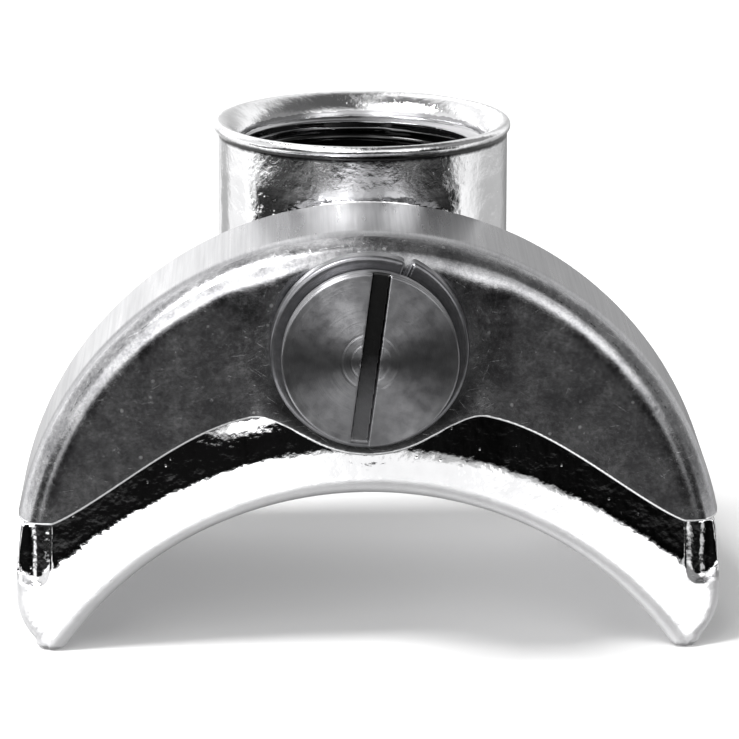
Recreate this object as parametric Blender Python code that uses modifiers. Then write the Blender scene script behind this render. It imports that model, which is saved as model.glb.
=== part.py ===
"""Arched double spout with a threaded collar and a removable crescent cover.

A cast arch stands on two tips and carries a round collar with an internal pipe thread.
Liquid enters through the collar, parts round the screw boss into a crescent-shaped channel
in the front of the arch, and leaves through an outlet above each tip.  A steel crescent
cover with a deep rim closes the channel.  One slotted screw with a split spring washer
holds the cover, so that the channel can be opened and cleaned.

X runs across the arch, Y from front to back and Z up.  The origin is on the floor, in the
middle of the whole assembly.
"""

import math

import bmesh
import bpy
from mathutils import Matrix, Vector

MM = 0.001
GAP = 0.3 * MM
NAME = "arched_double_spout"

# Overall frame
FACE_Y = -13.375 * MM
ARCH_Z = 4.3 * MM
REAR_SIDE_FRONT = 22.8 * MM

# Crescent cover
COVER_RADIUS = 23.7 * MM
COVER_THICKNESS = 1.0 * MM
COVER_DEPTH = 11.0 * MM
COVER_EDGE_ROUND = 1.0 * MM
COVER_TIP_X = 22.95 * MM
COVER_TIP_Z = ARCH_Z + 4.28 * MM
COVER_TIP_RISE = 0.4 * MM
BOSS_EDGE_RADIUS = 7.65 * MM
BOSS_EDGE_START = math.radians(-49.0)
SHOULDER_X = 7.3 * MM
SHOULDER_ROUND = 0.1 * MM
EDGE_START_X = 20.9 * MM
EDGE_SPAN = 14.9 * MM
EDGE_RISE = 7.41 * MM
EDGE_POWER = 1.2
EDGE_STEPS = 9
COVER_HOLE_RADIUS = 2.9 * MM

# Screw and washer, on one axis
SCREW_Z = ARCH_Z + 16.65 * MM
THREAD_RADIUS = 2.5 * MM
THREAD_PITCH = 0.8 * MM
THREAD_CLEARANCE = 0.1 * MM
HEAD_RADIUS = 5.73 * MM
HEAD_THICKNESS = 1.85 * MM
HEAD_ROUND = 0.2 * MM
HEAD_CORNER = 0.06 * MM
SLOT_WIDTH = 1.15 * MM
SLOT_DEPTH = 1.1 * MM
SLOT_TILT = math.radians(7.5)
WASHER_OUTER = 6.5 * MM
WASHER_INNER = 4.4 * MM
WASHER_WIRE = 1.5 * MM
WASHER_RISE = 1.2 * MM
WASHER_SPLIT_ANGLE = math.radians(64.0)
WASHER_SPLIT_GAP = math.radians(5.0)
SCREW_REACH = 9.0 * MM

# Cast arch
UNDER_RADIUS = 24.7 * MM
UNDER_Z = ARCH_Z - 18.45 * MM
WALL_Y = FACE_Y + COVER_THICKNESS + GAP
LIP_BASE_RADIUS = 27.55 * MM
LIP_EDGE_RADIUS = 25.1 * MM
LIP_EDGE_ROUND = 0.5 * MM
LIP_FRONT_Y = FACE_Y + 0.1 * MM
BLOCK_RADIUS = COVER_RADIUS - COVER_THICKNESS - GAP
LEDGE_Z = COVER_TIP_Z - GAP
FOOT_RADIUS = 23.4 * MM
NOSE_RADIUS = 3.6 * MM
NOSE_Z = ARCH_Z - 0.9 * MM
NOSE_END = math.radians(-70.8)
NOSE_INNER_X = 17.0 * MM
HOLLOW_X = 22.79 * MM
HOLLOW_Y = FACE_Y - 0.18 * MM
HOLLOW_RADIUS = 2.4 * MM
HOLLOW_FLOOR_Z = ARCH_Z - 0.1 * MM
BLOCK_BACK_Y = FACE_Y + COVER_DEPTH + GAP
REAR_TOP_FRONT = 23.3 * MM
REAR_TOP_BACK = 16.0 * MM
REAR_SIDE_BACK = 20.9 * MM
REAR_ROUND = 2.4 * MM
BACK_TRIM = 0.05 * MM

# Collar
COLLAR_Y = FACE_Y + 21.5 * MM
NECK_RADIUS = 10.0 * MM
NECK_FOOT_Z = ARCH_Z + 9.0 * MM
RIM_RADIUS = 10.4 * MM
RIM_TOP_Z = ARCH_Z + 27.32 * MM
RIM_THICKNESS = 0.82 * MM
RIM_ROUND = 0.35 * MM
MOUTH_RADIUS = 9.2 * MM
MOUTH_CHAMFER = 1.2 * MM
THREAD_MINOR = 7.475 * MM
THREAD_DEPTH = 9.5 * MM
WELL_RADIUS = 7.0 * MM
WELL_STEP = 0.4 * MM
WELL_FLOOR_Z = ARCH_Z + 10.6 * MM

# Channel behind the cover
CHANNEL_TOP_RADIUS = 20.6 * MM
CHANNEL_FLOOR_RADIUS = 31.2 * MM
CHANNEL_DEPTH = 6.5 * MM
CHANNEL_END_X = 18.9 * MM
PILLAR_RADIUS = 4.7 * MM
FEED_X = 6.3 * MM
FEED_RADIUS = 1.9 * MM
FEED_Z = SCREW_Z - 1.0 * MM
FEED_OVERLAP = 1.0 * MM
FEED_BACK_Y = COLLAR_Y - 1.5 * MM
OUTLET_X = 17.4 * MM
OUTLET_RADIUS = 1.6 * MM
OUTLET_TOP_Z = ARCH_Z + 9.5 * MM

# Fineness
RING_STEPS = 168
ARC_STEP = math.radians(3.0)
ROUND_STEPS = 64
HOLE_STEPS = 32
WASHER_STEPS = 48
OVERCUT = 4.0 * MM


def clear_scene():
    """Remove every object, so that the part starts from nothing."""
    for old in list(bpy.data.objects):
        bpy.data.objects.remove(old, do_unlink=True)


def new_collection(name):
    """Return a new collection linked into the scene."""
    collection = bpy.data.collections.new(name)
    bpy.context.scene.collection.children.link(collection)
    return collection


def principled(name, colour, metallic, roughness):
    """Return a Principled material with one colour."""
    material = bpy.data.materials.new(name)
    material.use_nodes = True
    shader = material.node_tree.nodes["Principled BSDF"]
    shader.inputs["Base Color"].default_value = (*colour, 1.0)
    shader.inputs["Metallic"].default_value = metallic
    shader.inputs["Roughness"].default_value = roughness
    return material


def add_object(name, bm, collection, material=None):
    """Make an object from a bmesh, with its faces turned outward."""
    bmesh.ops.recalc_face_normals(bm, faces=bm.faces)
    mesh = bpy.data.meshes.new(name)
    bm.to_mesh(mesh)
    bm.free()
    obj = bpy.data.objects.new(name, mesh)
    collection.objects.link(obj)
    if material:
        mesh.materials.append(material)
    return obj


def as_tool(obj):
    """Mark an object that only cuts or joins another."""
    obj.hide_render = True
    obj.display_type = "WIRE"
    return obj


def combine(target, tool, operation):
    """Add an exact Boolean modifier."""
    modifier = target.modifiers.new(f"{operation.lower()} {tool.name}", "BOOLEAN")
    modifier.operation = operation
    modifier.object = tool
    modifier.solver = "EXACT"
    return modifier


def smooth(obj, degrees=40.0):
    """Shade an object smooth apart from its sharp edges."""
    obj.data.shade_smooth()
    obj.data.set_sharp_from_angle(angle=math.radians(degrees))


def arc(radius, centre_x, centre_z, start, end):
    """Return points of an arc in the XZ plane; angles run from +X towards +Z."""
    count = max(2, math.ceil(abs(end - start) / ARC_STEP))
    angles = [start + (end - start) * i / count for i in range(count + 1)]
    return [(centre_x + radius * math.cos(a), centre_z + radius * math.sin(a)) for a in angles]


def mirrored(points):
    """Return a closed outline from its right half, which runs from the top to the bottom."""
    left = [(-x, z) for x, z in reversed(points) if x > 1e-7]
    return points + left


def outline_bmesh(points, front_y, back_y):
    """Extrude an XZ outline between two Y planes, by way of a filled 2D curve."""
    curve = bpy.data.curves.new("outline", "CURVE")
    curve.dimensions = "2D"
    curve.fill_mode = "BOTH"
    curve.extrude = (back_y - front_y) / 2
    spline = curve.splines.new("POLY")
    spline.points.add(len(points) - 1)
    for point, (x, z) in zip(spline.points, points):
        point.co = (x, z, 0.0, 1.0)
    spline.use_cyclic_u = True
    guide = bpy.data.objects.new("outline", curve)
    bpy.context.scene.collection.objects.link(guide)
    depsgraph = bpy.context.evaluated_depsgraph_get()
    mesh = bpy.data.meshes.new_from_object(guide.evaluated_get(depsgraph))
    bm = bmesh.new()
    bm.from_mesh(mesh)
    bpy.data.objects.remove(guide, do_unlink=True)
    bpy.data.curves.remove(curve)
    bpy.data.meshes.remove(mesh)
    bmesh.ops.remove_doubles(bm, verts=bm.verts, dist=1e-6)
    upright = Matrix.Rotation(math.pi / 2, 4, "X")
    middle = Matrix.Translation((0.0, (front_y + back_y) / 2, 0.0))
    bmesh.ops.transform(bm, matrix=middle @ upright, verts=bm.verts)
    return bm


def outline_solid(name, points, front_y, back_y, collection, material=None):
    """Return an extruded outline as an object."""
    return add_object(name, outline_bmesh(points, front_y, back_y), collection, material)


def cylinder_bmesh(radius, start, end, steps):
    """Return a closed cylinder between two points."""
    start = Vector(start)
    end = Vector(end)
    direction = end - start
    bm = bmesh.new()
    bmesh.ops.create_cone(
        bm, cap_ends=True, segments=steps, radius1=radius, radius2=radius, depth=direction.length
    )
    turn = direction.to_track_quat("Z", "Y").to_matrix().to_4x4()
    place = Matrix.Translation((start + end) / 2)
    bmesh.ops.transform(bm, matrix=place @ turn, verts=bm.verts)
    return bm


def cylinder(name, radius, start, end, collection, steps=HOLE_STEPS):
    """Return a cylinder as a cutting or joining tool."""
    return as_tool(add_object(name, cylinder_bmesh(radius, start, end, steps), collection))


def box(name, low, high, collection, turn_z=0.0, turn_y=0.0, pivot=(0.0, 0.0, 0.0)):
    """Return a box tool between two corners, turned about a pivot."""
    low = Vector(low)
    high = Vector(high)
    bm = bmesh.new()
    bmesh.ops.create_cube(bm, size=1.0)
    bmesh.ops.scale(bm, vec=high - low, verts=bm.verts)
    bmesh.ops.translate(bm, vec=(low + high) / 2, verts=bm.verts)
    turn = Matrix.Rotation(turn_z, 4, "Z") @ Matrix.Rotation(turn_y, 4, "Y")
    place = Matrix.Translation(pivot)
    bmesh.ops.transform(bm, matrix=place @ turn @ place.inverted(), verts=bm.verts)
    return as_tool(add_object(name, bm, collection))


def turned(name, profile, collection, steps, closed=False, material=None):
    """Turn a profile of (radius, height) about the object's own Z axis."""
    bm = bmesh.new()
    verts = [bm.verts.new((radius, 0.0, height)) for radius, height in profile]
    for first, second in zip(verts, verts[1:]):
        bm.edges.new((first, second))
    if closed:
        bm.edges.new((verts[-1], verts[0]))
    mesh = bpy.data.meshes.new(name)
    bm.to_mesh(mesh)
    bm.free()
    obj = bpy.data.objects.new(name, mesh)
    collection.objects.link(obj)
    if material:
        mesh.materials.append(material)
    screw = obj.modifiers.new("turn", "SCREW")
    screw.axis = "Z"
    screw.steps = steps
    screw.render_steps = steps
    screw.use_merge_vertices = True
    screw.merge_threshold = 1e-6
    screw.use_smooth_shade = True
    return obj


def place_along_y(obj, z):
    """Point an object's Z axis to the front, at a height on the middle plane."""
    obj.location = (0.0, 0.0, z)
    obj.rotation_euler = (math.pi / 2, 0.0, 0.0)


def lower_edge_height(x):
    """Return the height of the cover's lower edge at a distance from the middle."""
    share = min(1.0, max(0.0, (EDGE_START_X - x) / EDGE_SPAN)) ** EDGE_POWER
    return COVER_TIP_Z + EDGE_RISE * math.sin(share * math.pi / 2)


def cover_lower_edge():
    """Return the right half of the cover's lower edge, from the tip to the middle."""
    width = EDGE_START_X - SHOULDER_X
    steps = [EDGE_START_X - width * i / EDGE_STEPS for i in range(EDGE_STEPS + 1)]
    slope = [(COVER_TIP_X, COVER_TIP_Z)] + [(x, lower_edge_height(x)) for x in steps]
    boss = arc(BOSS_EDGE_RADIUS, 0.0, SCREW_Z, BOSS_EDGE_START, -math.pi / 2)
    shoulder_end = ((slope[-1][0] + boss[0][0]) / 2, (slope[-1][1] + boss[0][1]) / 2)
    softened = (shoulder_end[0], shoulder_end[1] + SHOULDER_ROUND)
    return slope + [softened] + boss


def make_cover(parts, tools, material):
    """Make the crescent cover: a front plate with a deep rim along its outer arc."""
    tip_angle = math.asin((COVER_TIP_Z + COVER_TIP_RISE - ARCH_Z) / COVER_RADIUS)
    outer = arc(COVER_RADIUS, 0.0, ARCH_Z, math.pi / 2, tip_angle)
    outer[0] = (0.0, outer[0][1])
    plate_edge = mirrored(outer + cover_lower_edge())
    cover = outline_solid(
        "crescent_cover", plate_edge, FACE_Y, FACE_Y + COVER_DEPTH, parts, material
    )
    rounding = cover.modifiers.new("front edge", "BEVEL")
    rounding.limit_method = "WEIGHT"
    rounding.width = COVER_EDGE_ROUND
    rounding.segments = 3
    weight_front_arc(cover)
    hollow_arc = arc(COVER_RADIUS - COVER_THICKNESS, 0.0, ARCH_Z, math.pi / 2, -math.pi / 4)
    hollow_arc[0] = (0.0, hollow_arc[0][1])
    hollow_edge = mirrored(hollow_arc + [(0.0, ARCH_Z - COVER_RADIUS)])
    inner_y = FACE_Y + COVER_THICKNESS
    hollow = as_tool(
        outline_solid("cover_hollow", hollow_edge, inner_y, inner_y + 2 * COVER_DEPTH, tools)
    )
    combine(cover, hollow, "DIFFERENCE")
    hole = cylinder(
        "cover_screw_hole",
        COVER_HOLE_RADIUS,
        (0.0, FACE_Y - OVERCUT, SCREW_Z),
        (0.0, FACE_Y + OVERCUT, SCREW_Z),
        tools,
    )
    combine(cover, hole, "DIFFERENCE")
    smooth(cover)
    return cover


def weight_front_arc(cover):
    """Give the bevel weight to the front edges that lie on the cover's outer arc."""
    bm = bmesh.new()
    bm.from_mesh(cover.data)
    weights = bm.edges.layers.float.new("bevel_weight_edge")
    centre = Vector((0.0, 0.0, ARCH_Z))
    for edge in bm.edges:
        front = all(abs(v.co.y - FACE_Y) < 1e-6 for v in edge.verts)
        on_arc = all(
            abs(math.hypot(v.co.x, v.co.z - centre.z) - COVER_RADIUS) < 1e-5 for v in edge.verts
        )
        if front and on_arc and len(edge.link_faces) == 2:
            edge[weights] = 1.0
    bm.to_mesh(cover.data)
    bm.free()


def make_screw(parts, tools, material):
    """Make the slotted screw: a broad turned head on a plain-bodied thread."""
    underside = FACE_Y - 2 * GAP - WASHER_WIRE - WASHER_RISE
    front = -underside + HEAD_THICKNESS
    profile = [
        (0.0, front),
        (HEAD_RADIUS - HEAD_ROUND, front),
        (HEAD_RADIUS - HEAD_CORNER, front - HEAD_CORNER),
        (HEAD_RADIUS, front - HEAD_ROUND),
        (HEAD_RADIUS, -underside + HEAD_CORNER),
        (HEAD_RADIUS - HEAD_CORNER, -underside),
        (THREAD_RADIUS, -underside),
        (THREAD_RADIUS, -FACE_Y - SCREW_REACH + THREAD_PITCH / 2),
        (THREAD_RADIUS - THREAD_PITCH / 2, -FACE_Y - SCREW_REACH),
        (0.0, -FACE_Y - SCREW_REACH),
    ]
    screw = turned("cover_screw", profile, parts, ROUND_STEPS, material=material)
    place_along_y(screw, SCREW_Z)
    slot = box(
        "screw_slot",
        (-SLOT_WIDTH / 2, -front - OVERCUT, SCREW_Z - 2 * HEAD_RADIUS),
        (SLOT_WIDTH / 2, -front + SLOT_DEPTH, SCREW_Z + 2 * HEAD_RADIUS),
        tools,
        turn_y=SLOT_TILT,
        pivot=(0.0, 0.0, SCREW_Z),
    )
    combine(screw, slot, "DIFFERENCE")
    return screw


def make_washer(parts, material):
    """Make the split spring washer: one turn of rectangular wire that rises as it goes."""
    back = FACE_Y - GAP
    bm = bmesh.new()
    corners = [
        (WASHER_INNER, back),
        (WASHER_OUTER, back),
        (WASHER_OUTER, back - WASHER_WIRE),
        (WASHER_INNER, back - WASHER_WIRE),
    ]
    ring = [bm.verts.new((radius, y, 0.0)) for radius, y in corners]
    face = bm.faces.new(ring)
    turn = math.tau - WASHER_SPLIT_GAP
    bmesh.ops.spin(
        bm,
        geom=[face, *face.edges, *face.verts],
        cent=(0.0, 0.0, 0.0),
        axis=(0.0, 1.0, 0.0),
        dvec=(0.0, -WASHER_RISE / WASHER_STEPS, 0.0),
        angle=turn,
        steps=WASHER_STEPS,
        use_duplicate=False,
    )
    start = Matrix.Rotation(-WASHER_SPLIT_ANGLE, 4, "Y")
    place = Matrix.Translation((0.0, 0.0, SCREW_Z))
    bmesh.ops.transform(bm, matrix=place @ start, verts=bm.verts)
    washer = add_object("spring_washer", bm, parts, material)
    smooth(washer)
    return washer


def arch_block(parts, material):
    """Make the front of the arch: the block that fills the cover, and its two feet."""
    ledge_x = math.sqrt(BLOCK_RADIUS**2 - (LEDGE_Z - ARCH_Z) ** 2)
    top = arc(BLOCK_RADIUS, 0.0, ARCH_Z, math.pi / 2, math.atan2(LEDGE_Z - ARCH_Z, ledge_x))
    top[0] = (0.0, top[0][1])
    side_start = math.asin((LEDGE_Z - ARCH_Z) / FOOT_RADIUS)
    side_end = math.asin((NOSE_Z - ARCH_Z) / FOOT_RADIUS)
    foot_side = arc(FOOT_RADIUS, 0.0, ARCH_Z, side_start, side_end)
    nose_x = foot_side[-1][0] - NOSE_RADIUS
    nose = arc(NOSE_RADIUS, nose_x, NOSE_Z, 0.0, NOSE_END)[1:]
    half = top + foot_side + nose + [
        (NOSE_INNER_X, nose[-1][1]),
        (NOSE_INNER_X, ARCH_Z),
        (0.0, ARCH_Z),
    ]
    return outline_solid(
        "spout_body", mirrored(half), LIP_FRONT_Y, BLOCK_BACK_Y + GAP, parts, material
    )


def rear_shell(tools):
    """Make the tapered back of the arch, whose crown falls towards the rear."""
    back_y = COLLAR_Y + NECK_RADIUS
    length = back_y - BLOCK_BACK_Y
    bm = bmesh.new()
    bmesh.ops.create_cone(
        bm, cap_ends=True, segments=ROUND_STEPS * 2, radius1=1.0, radius2=1.0, depth=length
    )
    for vert in bm.verts:
        at_back = vert.co.z < 0.0
        across = REAR_SIDE_BACK if at_back else REAR_SIDE_FRONT
        crown = REAR_TOP_BACK if at_back else REAR_TOP_FRONT
        vert.co.x *= across
        vert.co.y *= crown
    back_rim = [edge for edge in bm.edges if all(v.co.z < 0.0 for v in edge.verts)]
    bmesh.ops.bevel(
        bm, geom=back_rim, offset=REAR_ROUND, segments=4, profile=0.5, affect="EDGES"
    )
    turn = Matrix.Rotation(math.pi / 2, 4, "X")
    place = Matrix.Translation((0.0, (BLOCK_BACK_Y + back_y) / 2, ARCH_Z))
    bmesh.ops.transform(bm, matrix=place @ turn, verts=bm.verts)
    return as_tool(add_object("rear_shell", bm, tools))


def arch_ring(tools):
    """Make the ring whose bore is the arch's underside and whose front is its lip."""
    outer = 3 * COVER_RADIUS
    back = COLLAR_Y + NECK_RADIUS - BACK_TRIM
    profile = [
        (outer, -WALL_Y),
        (outer, -back),
        (UNDER_RADIUS, -back),
        (UNDER_RADIUS, -LIP_FRONT_Y - LIP_EDGE_ROUND),
        (LIP_EDGE_RADIUS, -LIP_FRONT_Y),
        (LIP_BASE_RADIUS, -WALL_Y),
    ]
    ring = turned("arch_ring", profile, tools, RING_STEPS, closed=True)
    place_along_y(ring, UNDER_Z)
    return as_tool(ring)


def collar_solid(tools):
    """Make the neck and its rim as one turned solid."""
    under_rim = RIM_TOP_Z - RIM_THICKNESS
    profile = [
        (0.0, RIM_TOP_Z),
        (RIM_RADIUS - RIM_ROUND, RIM_TOP_Z),
        (RIM_RADIUS, RIM_TOP_Z - RIM_ROUND),
        (RIM_RADIUS, under_rim + RIM_ROUND),
        (NECK_RADIUS, under_rim),
        (NECK_RADIUS, NECK_FOOT_Z),
        (0.0, NECK_FOOT_Z),
    ]
    collar = turned("collar_solid", profile, tools, ROUND_STEPS)
    collar.location = (0.0, COLLAR_Y, 0.0)
    return as_tool(collar)


def collar_bore(tools):
    """Make the collar's bore: chamfered mouth, thread at its minor size, and the well."""
    thread_end = RIM_TOP_Z - THREAD_DEPTH
    profile = [
        (0.0, RIM_TOP_Z + OVERCUT),
        (MOUTH_RADIUS, RIM_TOP_Z + OVERCUT),
        (MOUTH_RADIUS, RIM_TOP_Z),
        (THREAD_MINOR, RIM_TOP_Z - MOUTH_CHAMFER),
        (THREAD_MINOR, thread_end),
        (WELL_RADIUS, thread_end - WELL_STEP),
        (WELL_RADIUS, WELL_FLOOR_Z),
        (0.0, WELL_FLOOR_Z),
    ]
    bore = turned("collar_bore", profile, tools, ROUND_STEPS)
    bore.location = (0.0, COLLAR_Y, 0.0)
    return as_tool(bore)


def channel_tool(tools):
    """Make the crescent channel, which the screw's pillar parts into two halves."""
    rise = math.asin(CHANNEL_END_X / CHANNEL_TOP_RADIUS)
    top = arc(CHANNEL_TOP_RADIUS, 0.0, ARCH_Z, math.pi / 2, math.pi / 2 - rise)
    top[0] = (0.0, top[0][1])
    lean = math.asin(CHANNEL_END_X / CHANNEL_FLOOR_RADIUS)
    floor = arc(CHANNEL_FLOOR_RADIUS, 0.0, UNDER_Z, math.pi / 2 - lean, math.pi / 2)
    floor[-1] = (0.0, floor[-1][1])
    channel = as_tool(
        outline_solid(
            "channel_tool",
            mirrored(top + floor),
            LIP_FRONT_Y - OVERCUT,
            WALL_Y + CHANNEL_DEPTH,
            tools,
        )
    )
    pillar = cylinder(
        "channel_pillar",
        PILLAR_RADIUS,
        (0.0, LIP_FRONT_Y - 2 * OVERCUT, SCREW_Z),
        (0.0, WALL_Y + CHANNEL_DEPTH + OVERCUT, SCREW_Z),
        tools,
    )
    combine(channel, pillar, "DIFFERENCE")
    return channel


def corner_hollow(side, tools):
    """Make the tool that hollows the outer front corner of a foot."""
    return cylinder(
        "hollow_right" if side > 0 else "hollow_left",
        HOLLOW_RADIUS,
        (side * HOLLOW_X, HOLLOW_Y, HOLLOW_FLOOR_Z),
        (side * HOLLOW_X, HOLLOW_Y, LEDGE_Z + OVERCUT),
        tools,
        ROUND_STEPS,
    )


def make_body(parts, tools, material):
    """Make the casting: arch, back shell, collar, channel and holes."""
    body = arch_block(parts, material)
    combine(body, rear_shell(tools), "UNION")
    combine(body, arch_ring(tools), "INTERSECT")
    floor_cut = box(
        "floor_cut",
        (-3 * COVER_RADIUS, -3 * COVER_RADIUS, -3 * COVER_RADIUS),
        (3 * COVER_RADIUS, 3 * COVER_RADIUS, 0.0),
        tools,
    )
    combine(body, floor_cut, "DIFFERENCE")
    combine(body, collar_solid(tools), "UNION")
    for side in (-1, 1):
        combine(body, corner_hollow(side, tools), "DIFFERENCE")
    combine(body, channel_tool(tools), "DIFFERENCE")
    combine(body, collar_bore(tools), "DIFFERENCE")
    screw_hole = cylinder(
        "screw_hole",
        THREAD_RADIUS + THREAD_CLEARANCE,
        (0.0, WALL_Y - OVERCUT, SCREW_Z),
        (0.0, FACE_Y + SCREW_REACH + GAP, SCREW_Z),
        tools,
    )
    combine(body, screw_hole, "DIFFERENCE")
    for side in (-1, 1):
        label = "right" if side > 0 else "left"
        feed = cylinder(
            f"feed_{label}",
            FEED_RADIUS,
            (side * FEED_X, WALL_Y + CHANNEL_DEPTH - FEED_OVERLAP, FEED_Z),
            (side * FEED_X, FEED_BACK_Y, FEED_Z),
            tools,
        )
        combine(body, feed, "DIFFERENCE")
        outlet = cylinder(
            f"outlet_{label}",
            OUTLET_RADIUS,
            (side * OUTLET_X, WALL_Y + CHANNEL_DEPTH / 2, OUTLET_TOP_Z),
            (side * OUTLET_X, WALL_Y + CHANNEL_DEPTH / 2, ARCH_Z - OVERCUT),
            tools,
        )
        combine(body, outlet, "DIFFERENCE")
    smooth(body)
    return body


def main():
    """Build the whole assembly."""
    clear_scene()
    parts = new_collection(NAME)
    tools = new_collection("cutters")
    chrome = principled("chromed_brass", (0.80, 0.80, 0.81), 1.0, 0.08)
    steel = principled("cover_steel", (0.42, 0.42, 0.43), 1.0, 0.30)
    turned_steel = principled("screw_steel", (0.55, 0.55, 0.56), 1.0, 0.28)
    spring_steel = principled("washer_steel", (0.34, 0.34, 0.35), 1.0, 0.35)
    make_body(parts, tools, chrome)
    cover = make_cover(parts, tools, steel)
    washer = make_washer(parts, spring_steel)
    screw = make_screw(parts, tools, turned_steel)
    bpy.context.view_layer.update()
    for rider in (washer, screw):
        rider.parent = cover
        rider.matrix_parent_inverse = cover.matrix_world.inverted()


main()
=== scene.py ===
"""Looks of the arched double spout: cast chrome body, steel cover, screw and spring washer.

Every piece is worked out in millimetres in the arch's own frame: x across, y back from the
cover's face and z up from the centre of the cover's rim.  to_row() turns that into the row's
metres.
"""

import math

import bmesh
import bpy
import numpy as np
from mathutils import Matrix, Vector


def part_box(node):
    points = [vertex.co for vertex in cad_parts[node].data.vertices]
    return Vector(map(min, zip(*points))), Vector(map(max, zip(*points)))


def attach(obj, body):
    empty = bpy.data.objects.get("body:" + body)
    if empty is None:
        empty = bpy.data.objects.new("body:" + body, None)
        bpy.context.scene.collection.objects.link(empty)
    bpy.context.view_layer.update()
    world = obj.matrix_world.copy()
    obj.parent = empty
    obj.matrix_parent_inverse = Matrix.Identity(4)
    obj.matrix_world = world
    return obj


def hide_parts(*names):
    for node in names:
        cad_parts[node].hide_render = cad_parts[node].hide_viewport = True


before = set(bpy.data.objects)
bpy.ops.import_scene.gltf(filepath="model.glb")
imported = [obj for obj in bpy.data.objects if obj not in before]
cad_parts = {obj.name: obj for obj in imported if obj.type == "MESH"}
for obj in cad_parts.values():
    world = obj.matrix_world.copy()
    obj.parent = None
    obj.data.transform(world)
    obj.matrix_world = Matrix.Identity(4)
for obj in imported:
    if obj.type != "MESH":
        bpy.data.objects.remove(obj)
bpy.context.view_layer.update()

MM = 0.001

# The arch's frame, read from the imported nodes
cover_low, cover_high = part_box("crescent_cover")
washer_low, washer_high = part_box("spring_washer")
screw_low, screw_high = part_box("cover_screw")
body_low, body_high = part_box("spout_body")
FACE_Y = cover_low[1]
COVER_R = 23.7
ARCH_Z = cover_high[2] - COVER_R * MM
SCREW_Z = (screw_low[2] + screw_high[2]) / 2 / MM - ARCH_Z / MM
RIM_TOP = (body_high[2] - ARCH_Z) / MM
FLOOR = -ARCH_Z / MM

# Cast arch
UNDER_C = -18.45
UNDER_R = 24.7
LIP_WIDTH = (2.75, 4.6)
DENT = (-7.8, 2.8, 6.5, 1.1)
DENT_DEPTH = 0.26
WALL_LEAN = math.tan(math.radians(6.0))
LIP_EDGE = 0.4
LIP_FRONT = 0.2
LIP_FOOT_FRONT = 0.73
LIP_LEAN = (math.tan(math.radians(20.0)), math.tan(math.radians(26.0)))
LIP_SQUARE = math.cos(math.radians(24.0))
LIP_COVE = 0.15
LEAN_REACH = 9.0
WALL_SPAN = (-1.5, 9.0)
FRONT_ROUND = 0.15
UNDER_EDGE = 1.1
BLOCK_R = 22.4
LEDGE = 4.0
LEDGE_ROUND = 0.25
FOOT_R = 23.37
NOSE = (19.77, -0.9)
NOSE_R = 3.6
NOSE_SOFT = 0.4
NOSE_SOFT_TOP = 1.0
NOSE_SOFT_SPAN = 1.5
HOLLOW_X = 22.79
HOLLOW_Y = -0.18
HOLLOW_R = 2.4
HOLLOW_LEAN = math.tan(math.radians(6.0))
DROP_X = 22.2
DROP_Z = 1.6
DROP_WIDTH = 1.3
DROP_HEIGHT = 1.75
HOLLOW_INNER_ROUND = 0.35
HOLLOW_EDGE_ROUND = 0.22
BLOCK_BACK = 11.3
BLOCK_OVERLAP = 0.3
REAR_Y = 31.4
REAR_ROUND = 2.6
REAR_CROWN = (23.28, 16.0)
REAR_SIDE = (22.9, 20.9)

# Collar
COLLAR_Y = 21.5
NECK_R = 9.98
RIM_R = 10.26
RIM_SHIFT = -0.06
RIM_HEIGHT = 0.8
MOUTH_R = 8.35
FLARE = 1.35
FLARE_DEPTH = 1.6
THREAD_PITCH = 1.337
THREAD_MEAN = 7.90
THREAD_HALF = 0.42
THREAD_END = 17.6
THREAD_SHARPNESS = 1.6
THREAD_START = 1.5
LEAD_DEPTH = 3.0
RIM_CORNER = 0.38
NECK_TOP_GAP = 0.3
NECK_FOOT = 9.0
WELL_R = 7.0
WELL_FLOOR = 10.6

# Passages inside the casting
CHANNEL_TOP_R = 20.6
CHANNEL_FLOOR_R = 31.3
CHANNEL_END = 18.9
CHANNEL_BACK = 7.8
PILLAR_R = 4.7
TAPPED_R = 2.6
TAPPED_END = 9.3
FEED_X = 6.3
FEED_DROP = 1.0
FEED_R = 1.9
FEED_MIDDLE = 13.4
FEED_HALF = 6.6
OUTLET = (17.4, 4.55)
OUTLET_R = 1.6
OUTLET_TOP = 9.5


def to_row(points):
    """Turn arch-frame millimetres into row-frame metres."""
    out = np.array(points, float) * MM
    out[:, 1] += FACE_Y
    out[:, 2] += ARCH_Z
    return out


def to_arch(points):
    """Turn row-frame metres into arch-frame millimetres."""
    out = np.array(points, float)
    out[:, 1] -= FACE_Y
    out[:, 2] -= ARCH_Z
    return out / MM


def join(a, b, r):
    """Union of two distance fields with a round fillet of radius r."""
    corner = np.hypot(np.maximum(r - a, 0.0), np.maximum(r - b, 0.0))
    return np.maximum(r, np.minimum(a, b)) - corner


def meet(a, b, r):
    """Intersection of two distance fields with a round edge of radius r."""
    corner = np.hypot(np.maximum(r + a, 0.0), np.maximum(r + b, 0.0))
    return np.minimum(-r, np.maximum(a, b)) + corner


def cut(a, b, r):
    """Take b away from a, leaving a round edge of radius r."""
    return meet(a, -b, r)


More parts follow.
